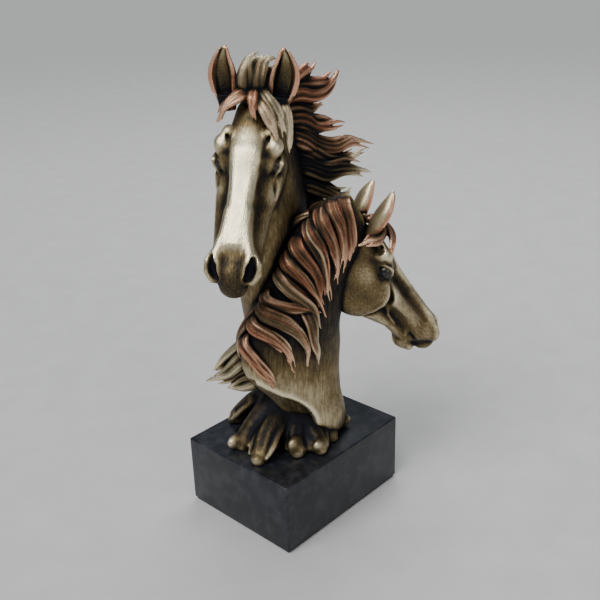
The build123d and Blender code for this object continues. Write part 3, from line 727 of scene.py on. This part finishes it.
# ---------------------------------------------------------------- forelocks and topknot
# path in the head's frame, half width, strands, copper tint
FORELOCKS = {
    "stallion_forelock": (STALLION, [
        ([(-0.01, 0.00, 0.03), (0.055, -0.07, 0.055), (0.11, -0.13, 0.035), (0.16, -0.160, -0.03)],
         4.0, 4, 0.8),
        ([(0.00, 0.01, 0.04), (0.06, 0.015, 0.070), (0.11, 0.02, 0.060), (0.17, 0.035, 0.02)], 2.6, 2, 0.9),
        ([(0.00, 0.03, 0.03), (0.06, 0.08, 0.055), (0.125, 0.140, 0.03), (0.21, 0.185, -0.04)], 4.2, 4, 0.0),
        ([(0.02, 0.03, 0.02), (0.10, 0.07, 0.055), (0.18, 0.12, 0.035), (0.27, 0.165, -0.03)], 3.8, 3, 0.3),
        ([(0.03, 0.13, -0.01), (0.09, 0.17, -0.01), (0.17, 0.195, -0.06), (0.27, 0.20, -0.10)],
         3.2, 3, 0.1)]),
    "stallion_topknot": (STALLION, [
        ([(0.03, -0.02, 0.02), (-0.05, -0.03, 0.08), (-0.12, -0.02, 0.10), (-0.19, 0.03, 0.08)],
         4.2, 2, 0.0),
        ([(0.03, 0.03, 0.02), (-0.06, 0.03, 0.07), (-0.13, 0.05, 0.08), (-0.19, 0.10, 0.04)], 4.0, 2, 0.0),
        ([(0.02, 0.06, 0.00), (-0.05, 0.07, 0.04), (-0.11, 0.08, 0.04), (-0.16, 0.12, 0.00)], 3.4, 2, 0.1)]),
    "mare_forelock": (MARE, [
        ([(0.10, -0.02, 0.02), (0.14, -0.09, 0.035), (0.13, -0.15, -0.04), (0.08, -0.18, -0.15)],
         5.6, 4, 0.7),
        ([(0.09, 0.00, 0.03), (0.17, -0.03, 0.065), (0.22, -0.11, 0.045), (0.26, -0.170, -0.03)],
         5.8, 4, 0.9),
        ([(0.09, 0.03, 0.02), (0.17, 0.05, 0.055), (0.22, 0.09, 0.04), (0.25, 0.13, -0.02)], 4.4, 3, 0.3),
        ([(0.09, 0.06, 0.01), (0.12, 0.11, 0.03), (0.12, 0.16, -0.04), (0.08, 0.18, -0.13)], 4.0, 3, 0.6)]),
}
for number, (name, (head, locks)) in enumerate(FORELOCKS.items()):
    hairs, tints = [], []
    for k, (path, wide, strands, copper) in enumerate(locks):
        points = [head.at(*p) for p in path]
        hairs += lock(points, [head.top] * len(points), wide, strands, 40 + 10 * number + k, fan=0.1,
                      curl=0.2, ragged=0.15, root=0.8)
        tints += strand_tints(copper, strands, k, 0.4)
    finish_hair(hairs, name, tints, RUBBED_HAIR)

# ---------------------------------------------------------------- the mare's mane
# stations on the neck, half width, strands, copper tint
MARE_LOCKS = {
    "poll_lock": ([(0.95, 22), (0.92, 46), (0.89, 76), (0.83, 98), (0.75, 106)], 4.8, 6, 0.8),
    "temple_lock": ([(0.90, 18), (0.87, 42), (0.84, 72), (0.78, 94), (0.69, 101)], 4.8, 6, 0.9),
    "cheek_lock": ([(0.84, 14), (0.80, 40), (0.77, 70), (0.72, 90), (0.64, 98)], 4.8, 6, 0.9),
    "upper_lock": ([(0.78, 12), (0.74, 36), (0.71, 66), (0.64, 88), (0.57, 102)], 4.8, 6, 0.8),
    "crest_lock": ([(0.71, 8), (0.68, 30), (0.65, 64), (0.60, 84), (0.54, 94)], 4.8, 6, 0.75),
    "middle_lock": ([(0.66, 6), (0.63, 28), (0.61, 60), (0.57, 86), (0.50, 103)], 4.6, 6, 0.6),
    "sweep_lock": ([(0.60, 8), (0.58, 36), (0.56, 62), (0.53, 86), (0.46, 102)], 4.6, 6, 0.5),
    "cross_lock": ([(0.54, 4), (0.52, 22), (0.52, 54), (0.53, 78), (0.52, 98)], 4.0, 5, 0.8),
    "side_lock": ([(0.51, 0), (0.49, 20), (0.48, 54), (0.45, 76), (0.39, 90), (0.32, 86)], 5.0, 6, 0.4),
    "shoulder_lock": ([(0.47, -4), (0.45, 14), (0.43, 48), (0.39, 68), (0.31, 71)], 5.0, 6, 0.7),
    "lower_lock": ([(0.42, -6), (0.40, 6), (0.37, 28), (0.32, 44), (0.27, 42)], 5.0, 6, 0.85),
    "throat_lock": ([(0.54, 72), (0.50, 84), (0.45, 93), (0.38, 101), (0.32, 102)], 4.0, 5, 0.2),
    "far_lock_1": ([(0.88, -34), (0.82, -56), (0.75, -78), (0.66, -98)], 5.2, 6, 0.8),
    "far_lock_2": ([(0.80, -10), (0.71, -42), (0.62, -70), (0.53, -92)], 6.2, 7, 0.7),
    "far_lock_3": ([(0.50, -4), (0.40, -28), (0.32, -50), (0.24, -70)], 6.2, 7, 0.6),
}
# two thin locks that are one piece with the lock above them
PART_OF = {"temple_lock": "poll_lock", "cross_lock": "sweep_lock"}
mane = {}                     # piece -> (strands, tints)
for number, (name, (stations, wide, strands, copper)) in enumerate(MARE_LOCKS.items()):
    rise = np.clip(np.linspace(0, 1, STRAND_RINGS) * 3.5, 0, 1)
    path, outs = on_neck_path(mare_neck, stations, 1.3 - 2.6 * (1 - rise) ** 1.5)
    hairs, tints = mane.setdefault(PART_OF.get(name, name), ([], []))
    hairs += lock(path, outs, wide, strands, 80 + number, fan=0.1, curl=-0.35, ragged=0.3, thick=0.85,
                  root=0.45)
    tints += strand_tints(copper, strands, number, 0.9)
for name, (hairs, tints) in mane.items():
    finish_hair(hairs, f"mare_{name}", tints)

FLICK = {
    "flick_lock": ([(-14, 2, 88), (-22, 8, 82), (-28, 16, 75), (-34, 23, 67)], 7.8, 3),
    "flick_upper": ([(-12, 6, 95), (-20, 11, 88), (-26, 18, 80), (-31, 25, 71)], 5.2, 2),
    "flick_lower": ([(-14, 0, 78), (-20, 5, 73), (-25, 12, 69), (-29, 18, 64)], 5.6, 2),
}
for number, (name, (path, wide, strands)) in enumerate(FLICK.items()):
    hairs = lock(path, [(-0.7, -0.7, 0.3)] * len(path), wide, strands, 120 + number, curl=0.5, fan=0.16,
                 thick=0.9, root=0.9)
    finish_hair(hairs, f"mare_{name}", strand_tints(0.0, strands, number, 0.1), FLICK_HAIR)

# ---------------------------------------------------------------- root base
# foot x, y, half width, start x, y, z
ROOTS = [(-16, 28, 5.0, -6, 8, 58), (-31, 6, 5.5, -8, 3, 57), (-35, -9, 5.5, -8, -2, 52),
         (-18, -19, 5.5, -5, -6, 47), (-9, -26, 5.0, -2, -9, 46), (3, -23, 4.5, 2, -9, 46),
         (16, -17, 5.0, 7, -7, 46), (25, 2, 5.5, 10, 1, 48), (20, 20, 6.0, 8, 10, 48),
         (4, 29, 5.5, 2, 15, 49)]
ROOT_SWELL = [1.2, 1.2, 1.1, 1.05, 1.0, 0.92, 0.88, 0.88, 0.86, 0.66]
# place across a root, rise and thickness, in half widths of the root
RIDGES = [(-0.85, 0.30, 0.30), (-0.35, 0.72, 0.26), (0.30, 0.78, 0.32), (0.85, 0.35, 0.28)]
KNOTS = 120
base = Clay((-46, -38, PLINTH_TOP - 1), (38, 42, 74), COARSE)
for centre, radii in (((1, 1, 40), (22, 23, 9)), ((2, 1, 48), (18, 20, 10))):
    base.lump(centre, radii, soft=4)
for x, y, half, start_x, start_y, start_z in ROOTS:
    start, foot = np.array([start_x, start_y, start_z]), np.array([x, y, PLINTH_TOP + half * 0.35])
    middle = start + (foot - start) * 0.6 + np.array([0, 0, half * 0.4])
    line = smooth([start, middle, foot], np.linspace(0, 1, 10))
    base.limb(line, [half * k for k in ROOT_SWELL], soft=4.5)
    # ridges run down each root, and wander a little
    side = unit(np.cross(foot - start, (0, 0, 1.0)))
    for place, rise, thick in RIDGES:
        wander = np.sin(np.linspace(0, 5, 10) + 9 * place + x)[:, None] * half * 0.13
        ridge = line + side * (half * place + wander) + np.array([0, 0, half * rise])
        base.limb(ridge, [half * thick] * 8 + [half * thick * 0.8, half * thick * 0.5], soft=0.9)
# knots all over the roots
for k in range(KNOTS):
    x, y, half, start_x, start_y, start_z = ROOTS[k % len(ROOTS)]
    t = chance(k, 1) ** 0.8
    at = (np.array([start_x, start_y, start_z]) * (1 - t) + np.array([x, y, PLINTH_TOP + 1.0]) * t
          + np.array([chance(k, 2) - 0.5, chance(k, 3) - 0.5, 0.5 * chance(k, 4)]) * half * 1.5)
    size = half * (0.20 + 0.30 * chance(k, 5))
    base.lump(at, (size * 1.6, size, size * 1.3), soft=1.6)
heights = base.low[2] + np.arange(base.d.shape[2]) * base.cell
base.d = np.maximum(base.d, (PLINTH_TOP - heights)[None, None, :].astype(np.float32))
base.soften()


def root_shade_and_highlight(points):
    """Painted shade high up and behind, and a painted highlight on the outer tips near the plinth's top."""
    low = np.clip((PLINTH_TOP + 9 - points[:, 2]) / 8, 0, 1)
    return -0.16 + 0.26 * low * np.clip(np.hypot(points[:, 0], points[:, 1]) / 16 - 0.6, 0, 1)


finish_piece("root_base_cast", base, ["root_base", "spreading_roots"], "root", neck_grain,
             paint=root_shade_and_highlight)


# ---------------------------------------------------------------- patina map
def box_blur(a, width):
    for k in range(3):
        pad = [(0, 0)] * 3
        pad[k] = (width // 2 + 1, width // 2)
        total = np.cumsum(np.pad(a, pad, mode="edge"), axis=k, dtype=np.float64)
        low, high = [slice(None)] * 3, [slice(None)] * 3
        low[k], high[k] = slice(0, -width), slice(width, None)
        a = ((total[tuple(high)] - total[tuple(low)]) / width).astype(np.float32)
    return a


def sample(grid, low, cell, points):
    q = np.clip((points - low) / cell, 0, np.array(grid.shape) - 1.001)
    i = q.astype(int)
    f = q - i
    value = 0.0
    for dx in (0, 1):
        for dy in (0, 1):
            for dz in (0, 1):
                w = (np.abs(1 - dx - f[:, 0]) * np.abs(1 - dy - f[:, 1]) * np.abs(1 - dz - f[:, 2]))
                value = value + w * grid[i[:, 0] + dx, i[:, 1] + dy, i[:, 2] + dz]
    return value


every_point = np.vstack([piece["points"] for piece in made])
map_low = every_point.min(0) - 12
whole = Clay(map_low, every_point.max(0) + 12, PATINA_CELL)
for piece in made:
    whole.add_mesh(piece["points"], piece["quads"])
filled = np.clip(0.5 - whole.d / PATINA_CELL, 0, 1)
filled[:, :, :int((PLINTH_TOP - map_low[2]) / PATINA_CELL)] = 1.0
CREASE_CELLS, HOLLOW_CELLS = 3, 9
crease_map = box_blur(box_blur(filled, CREASE_CELLS), CREASE_CELLS)
hollow_map = box_blur(box_blur(filled, HOLLOW_CELLS), HOLLOW_CELLS)


# ---------------------------------------------------------------- materials
class Paint:
    """A material whose nodes are added one by one; object coordinates feed its noise."""

    def __init__(self, name):
        self.mat = bpy.data.materials.new(name)
        self.mat.use_nodes = True
        self.nodes, self.links = self.mat.node_tree.nodes, self.mat.node_tree.links
        self.sockets = self.nodes["Principled BSDF"].inputs
        self.coords = self.nodes.new("ShaderNodeTexCoord").outputs["Object"]

    def put(self, socket, value):
        if isinstance(value, (int, float)):
            socket.default_value = value
        elif isinstance(value, tuple):
            socket.default_value = (*value, 1)
        else:
            self.links.new(value, socket)

    def math(self, kind, a, b):
        n = self.nodes.new("ShaderNodeMath")
        n.operation = kind
        self.put(n.inputs[0], a)
        self.put(n.inputs[1], b)
        return n.outputs[0]

    def add(self, a, b):
        return self.math("ADD", a, b)

    def times(self, a, b):
        return self.math("MULTIPLY", a, b)

    def ramp(self, source, *stops):
        """Stops are (place, grey or colour)."""
        n = self.nodes.new("ShaderNodeValToRGB")
        while len(n.color_ramp.elements) < len(stops):
            n.color_ramp.elements.new(0.5)
        for element, (place, colour) in zip(n.color_ramp.elements, stops):
            colour = colour if isinstance(colour, tuple) else (colour,) * 3
            element.position, element.color = place, (*colour, 1)
        self.links.new(source, n.inputs[0])
        return n.outputs[0]

    def noise(self, scale, detail, rough=0.6, coords=None):
        n = self.nodes.new("ShaderNodeTexNoise")
        for label, value in (("Scale", scale), ("Detail", detail), ("Roughness", rough)):
            n.inputs[label].default_value = value
        self.links.new(coords or self.coords, n.inputs["Vector"])
        return n.outputs[0]

    def attribute(self, name, output="Fac"):
        n = self.nodes.new("ShaderNodeAttribute")
        n.attribute_name = name
        return n.outputs[output]

    def mixed(self, factor, a, b):
        n = self.nodes.new("ShaderNodeMix")
        n.data_type = "RGBA"
        for slot, value in ((0, factor), (6, a), (7, b)):
            self.put(n.inputs[slot], value)
        return n.outputs[2]

    def finish(self, colour, metal=None, rough=None, height=None, strength=1.0, distance=0.0):
        """Wires up the shader; height makes a bump of that strength and distance."""
        for label, value in (("Base Color", colour), ("Metallic", metal), ("Roughness", rough)):
            if value is not None:
                self.put(self.sockets[label], value)
        if height is not None:
            bump = self.nodes.new("ShaderNodeBump")
            bump.inputs["Strength"].default_value = strength
            bump.inputs["Distance"].default_value = distance
            self.links.new(height, bump.inputs["Height"])
            self.links.new(bump.outputs[0], self.sockets["Normal"])
        return self.mat


DARK, DEEP = (0.010, 0.010, 0.014), (0.042, 0.032, 0.020)
BRONZE, PALE = (0.185, 0.132, 0.058), (0.86, 0.74, 0.49)
GOLD, GOLD_PALE = (0.16, 0.118, 0.060), (0.80, 0.69, 0.46)
COPPER, COPPER_PALE = (0.215, 0.082, 0.042), (0.76, 0.40, 0.25)
CREASE_DIRT, HOLLOW_DIRT, CLEAN = 1.5, 0.8, 0.32
DIRTY_ROUGH = 0.58


def patina(name, tones, stops, metal, rough, lines, line_bump):
    """Antique metal: black in the creases, mid tone on the flats, rubbed bright on the ridges."""
    p = Paint(name)
    strokes = p.noise(1.0, 4, 0.65, p.attribute("flow", "Vector"))
    crease = p.math("SUBTRACT", p.attribute("crease"), 0.5)
    hollow = p.math("SUBTRACT", p.attribute("hollow"), 0.5)
    dirt = p.add(p.times(crease, CREASE_DIRT), p.times(hollow, HOLLOW_DIRT))
    blotch, fine = p.noise(90, 5), p.noise(900, 3)
    speckle = p.add(p.add(p.times(blotch, 0.26), p.times(fine, 0.10)), p.times(strokes, lines))
    worn = p.math("SUBTRACT", p.add(speckle, CLEAN - lines / 2), dirt)
    # from here worn also holds the painted highlights and painted shade of the paint attribute
    worn = p.add(worn, p.attribute("paint"))
    dark_to, mid_to, light_to = stops

    def shades(mid, light):
        return p.ramp(worn, (dark_to, DARK), (dark_to * 0.6 + mid_to * 0.4, DEEP), (mid_to, mid),
                      (light_to, light))

    colour = p.mixed(p.attribute("tint"), shades(*tones), shades(COPPER, COPPER_PALE))
    roughness = p.ramp(worn, (dark_to, DIRTY_ROUGH), (light_to, rough))
    grain = p.add(p.add(p.times(fine, 0.3), p.times(strokes, line_bump)), p.times(blotch, 0.6))
    return p.finish(colour, metal, roughness, grain, 0.5, 0.0005)


def eye_gloss():
    p = Paint("eye gloss")
    colour = p.ramp(p.noise(400, 2), (0.35, (0.012, 0.010, 0.009)), (0.7, (0.05, 0.04, 0.03)))
    return p.finish(colour, 0.3, 0.16)


# tones, where dark, mid and light begin, metal, roughness, hair lines and their relief
MATERIALS = {
    "bronze": patina("bronze patina", (BRONZE, PALE), (0.24, 0.56, 0.96), 0.88, 0.27, 0.42, 0.9),
    "hair": patina("hair patina", (GOLD, GOLD_PALE), (0.42, 0.70, 1.04), 0.9, 0.25, 0.46, 2.2),
    "ear": patina("ear patina", (BRONZE, PALE), (0.38, 0.68, 1.06), 0.85, 0.34, 0.3, 0.8),
    "root": patina("root patina", (BRONZE, PALE), (0.32, 0.66, 1.05), 0.85, 0.30, 0.3, 1.2),
    "eye": eye_gloss(),
}


def lacquer():
    """Satin black paint with thin scuffs and slightly worn, paler edges."""
    p = Paint("plinth lacquer")
    pointed = p.nodes.new("ShaderNodeNewGeometry").outputs["Pointiness"]
    edge = p.ramp(pointed, (0.52, 0), (0.60, 1))
    patchy = p.ramp(p.noise(160, 6), (0.45, 0), (0.68, 1))
    cloud = p.noise(35, 4)
    black = p.ramp(cloud, (0.3, (0.003, 0.004, 0.007)), (0.7, (0.007, 0.009, 0.014)))
    colour = p.mixed(p.times(edge, patchy), black, (0.10, 0.10, 0.11))
    dust = p.ramp(p.noise(1500, 2), (0.72, 0), (0.80, 1))
    colour = p.mixed(p.times(dust, 0.10), colour, (0.25, 0.24, 0.22))
    return p.finish(colour, None, p.ramp(cloud, (0.3, 0.34), (0.7, 0.48)), p.noise(500, 4), 0.12, 0.0003)


def plain_surface(name, low, high, metal, rough, scale, distance):
    p = Paint(name)
    grain = p.noise(scale, 6)
    return p.finish(p.ramp(grain, (0.35, low), (0.65, high)), metal, rough, grain, 1.0, distance)


# ---------------------------------------------------------------- meshes in the scene
def to_scene(name, points, quads, nodes, material, flow, tint, paint):
    data = bpy.data.meshes.new(name)
    data.vertices.add(len(points))
    data.vertices.foreach_set("co", (points * MM).astype(np.float32).ravel())
    data.loops.add(quads.size)
    data.loops.foreach_set("vertex_index", quads.astype(np.int32).ravel())
    data.polygons.add(len(quads))
    data.polygons.foreach_set("loop_start", np.arange(0, quads.size, 4, dtype=np.int32))
    data.update(calc_edges=True)
    data.validate()
    data.polygons.foreach_set("use_smooth", np.ones(len(data.polygons), bool))
    values = {"crease": sample(crease_map, map_low, PATINA_CELL, points),
              "hollow": sample(hollow_map, map_low, PATINA_CELL, points), "tint": tint, "paint": paint}
    for label, value in values.items():
        data.attributes.new(label, "FLOAT", "POINT").data.foreach_set("value", value.astype(np.float32))
    layer = data.attributes.new("flow", "FLOAT_VECTOR", "POINT")
    layer.data.foreach_set("vector", flow.astype(np.float32).ravel())
    data.materials.append(MATERIALS[material])
    piece = bpy.data.objects.new(name, data)
    bpy.context.scene.collection.objects.link(piece)
    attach(piece, BODY)
    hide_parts(*nodes)
    return piece


for piece in made:
    to_scene(**piece)


def plinth():
    (x0, y0, z0), (x1, y1, z1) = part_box("plinth_block")
    bpy.ops.mesh.primitive_cube_add(size=1)
    block = bpy.context.object
    block.name = "plinth_painted"
    block.data.transform(Matrix.Translation(((x0 + x1) / 2, (y0 + y1) / 2, (z0 + z1) / 2))
                         @ Matrix.Diagonal((x1 - x0, y1 - y0, z1 - z0, 1)))
    bevel = block.modifiers.new("worn edge", "BEVEL")
    bevel.width, bevel.segments = PLINTH_EDGE * MM, 4
    block.data.materials.append(lacquer())
    for face in block.data.polygons:
        face.use_smooth = True
    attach(block, BODY)
    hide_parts("plinth_block")
    return block


plinth()
CARRIED_OVER = {
    "felt_pad": plain_surface("felt", (0.010, 0.010, 0.011), (0.035, 0.034, 0.034), 0, 0.95, 2500, 0.0004),
    "fixing_screws": plain_surface("zinc", (0.42, 0.42, 0.43), (0.62, 0.62, 0.60), 1, 0.35, 700, 0.0001),
    "fixing_washers": plain_surface("zinc washer", (0.45, 0.45, 0.46), (0.6, 0.6, 0.58), 1, 0.4, 600,
                                    0.0001),
}
for node, material in CARRIED_OVER.items():
    frame["nodes"][node].data.materials.clear()
    frame["nodes"][node].data.materials.append(material)

# ---------------------------------------------------------------- floor, light and camera
FLOOR_SIZE, FLOOR_DROP = 30, 0.0002             # metres; the drop keeps it clear of the pad
bpy.ops.mesh.primitive_plane_add(size=FLOOR_SIZE, location=(0, 0, -FLOOR_DROP))
floor = bpy.context.object
floor.name = "floor"
floor.data.materials.append(plain_surface("floor paint", (0.60, 0.59, 0.57), (0.64, 0.63, 0.61), 0, 0.7,
                                          40, 0.0))

LOOK_AT = Vector((0.0034, -0.0035, 0.1080))
CAMERA_FROM, CAMERA_RISE = -46.6, 22.8           # degrees
CAMERA_ROLL, CAMERA_AWAY, LENS = -1.8, 0.3968, 49.26


def from_bearing(bearing, rise, away):
    """A place around the object: bearing 0 is in front (-Y), turning towards +X."""
    b, r = radians(bearing), radians(rise)
    return LOOK_AT + Vector((sin(b) * cos(r), -cos(b) * cos(r), sin(r))) * away


def aim(thing, roll=0.0):
    way = (thing.location - LOOK_AT).normalized()
    right = Vector((0, 0, 1)).cross(way).normalized()
    up = way.cross(right)
    turned = right * cos(radians(roll)) + up * sin(radians(roll))
    turned_up = up * cos(radians(roll)) - right * sin(radians(roll))
    thing.rotation_euler = Matrix((turned, turned_up, way)).transposed().to_euler()


def soft_light(name, bearing, rise, away, size, power, colour):
    data = bpy.data.lights.new(name, "AREA")
    data.size, data.energy, data.color = size, power, colour
    light = bpy.data.objects.new(name, data)
    bpy.context.scene.collection.objects.link(light)
    light.location = from_bearing(bearing, rise, away)
    aim(light)


def broad_sun(name, bearing, rise, spread, strength, colour):
    data = bpy.data.lights.new(name, "SUN")
    data.angle, data.energy, data.color = radians(spread), strength, colour
    light = bpy.data.objects.new(name, data)
    bpy.context.scene.collection.objects.link(light)
    light.location = from_bearing(bearing, rise, 2.0)
    aim(light)


broad_sun("sky from the left", -86, 52, 42, 2.6, (0.97, 0.98, 1.0))
soft_light("high back light", 120, 62, 1.3, 0.7, 7, (0.95, 0.97, 1.0))
soft_light("front fill", -10, 22, 1.4, 0.7, 3, (1.0, 0.98, 0.95))

world = bpy.data.worlds.new("studio")
world.use_nodes = True
sky = world.node_tree.nodes["Background"].inputs
sky["Color"].default_value, sky["Strength"].default_value = (0.50, 0.55, 0.62, 1), 0.30
bpy.context.scene.world = world

camera_data = bpy.data.cameras.new("camera")
camera_data.lens, camera_data.sensor_width, camera_data.clip_start = LENS, 36, 0.01
camera = bpy.data.objects.new("camera", camera_data)
bpy.context.scene.collection.objects.link(camera)
camera.location = from_bearing(CAMERA_FROM, CAMERA_RISE, CAMERA_AWAY)
aim(camera, CAMERA_ROLL)
bpy.context.scene.camera = camera
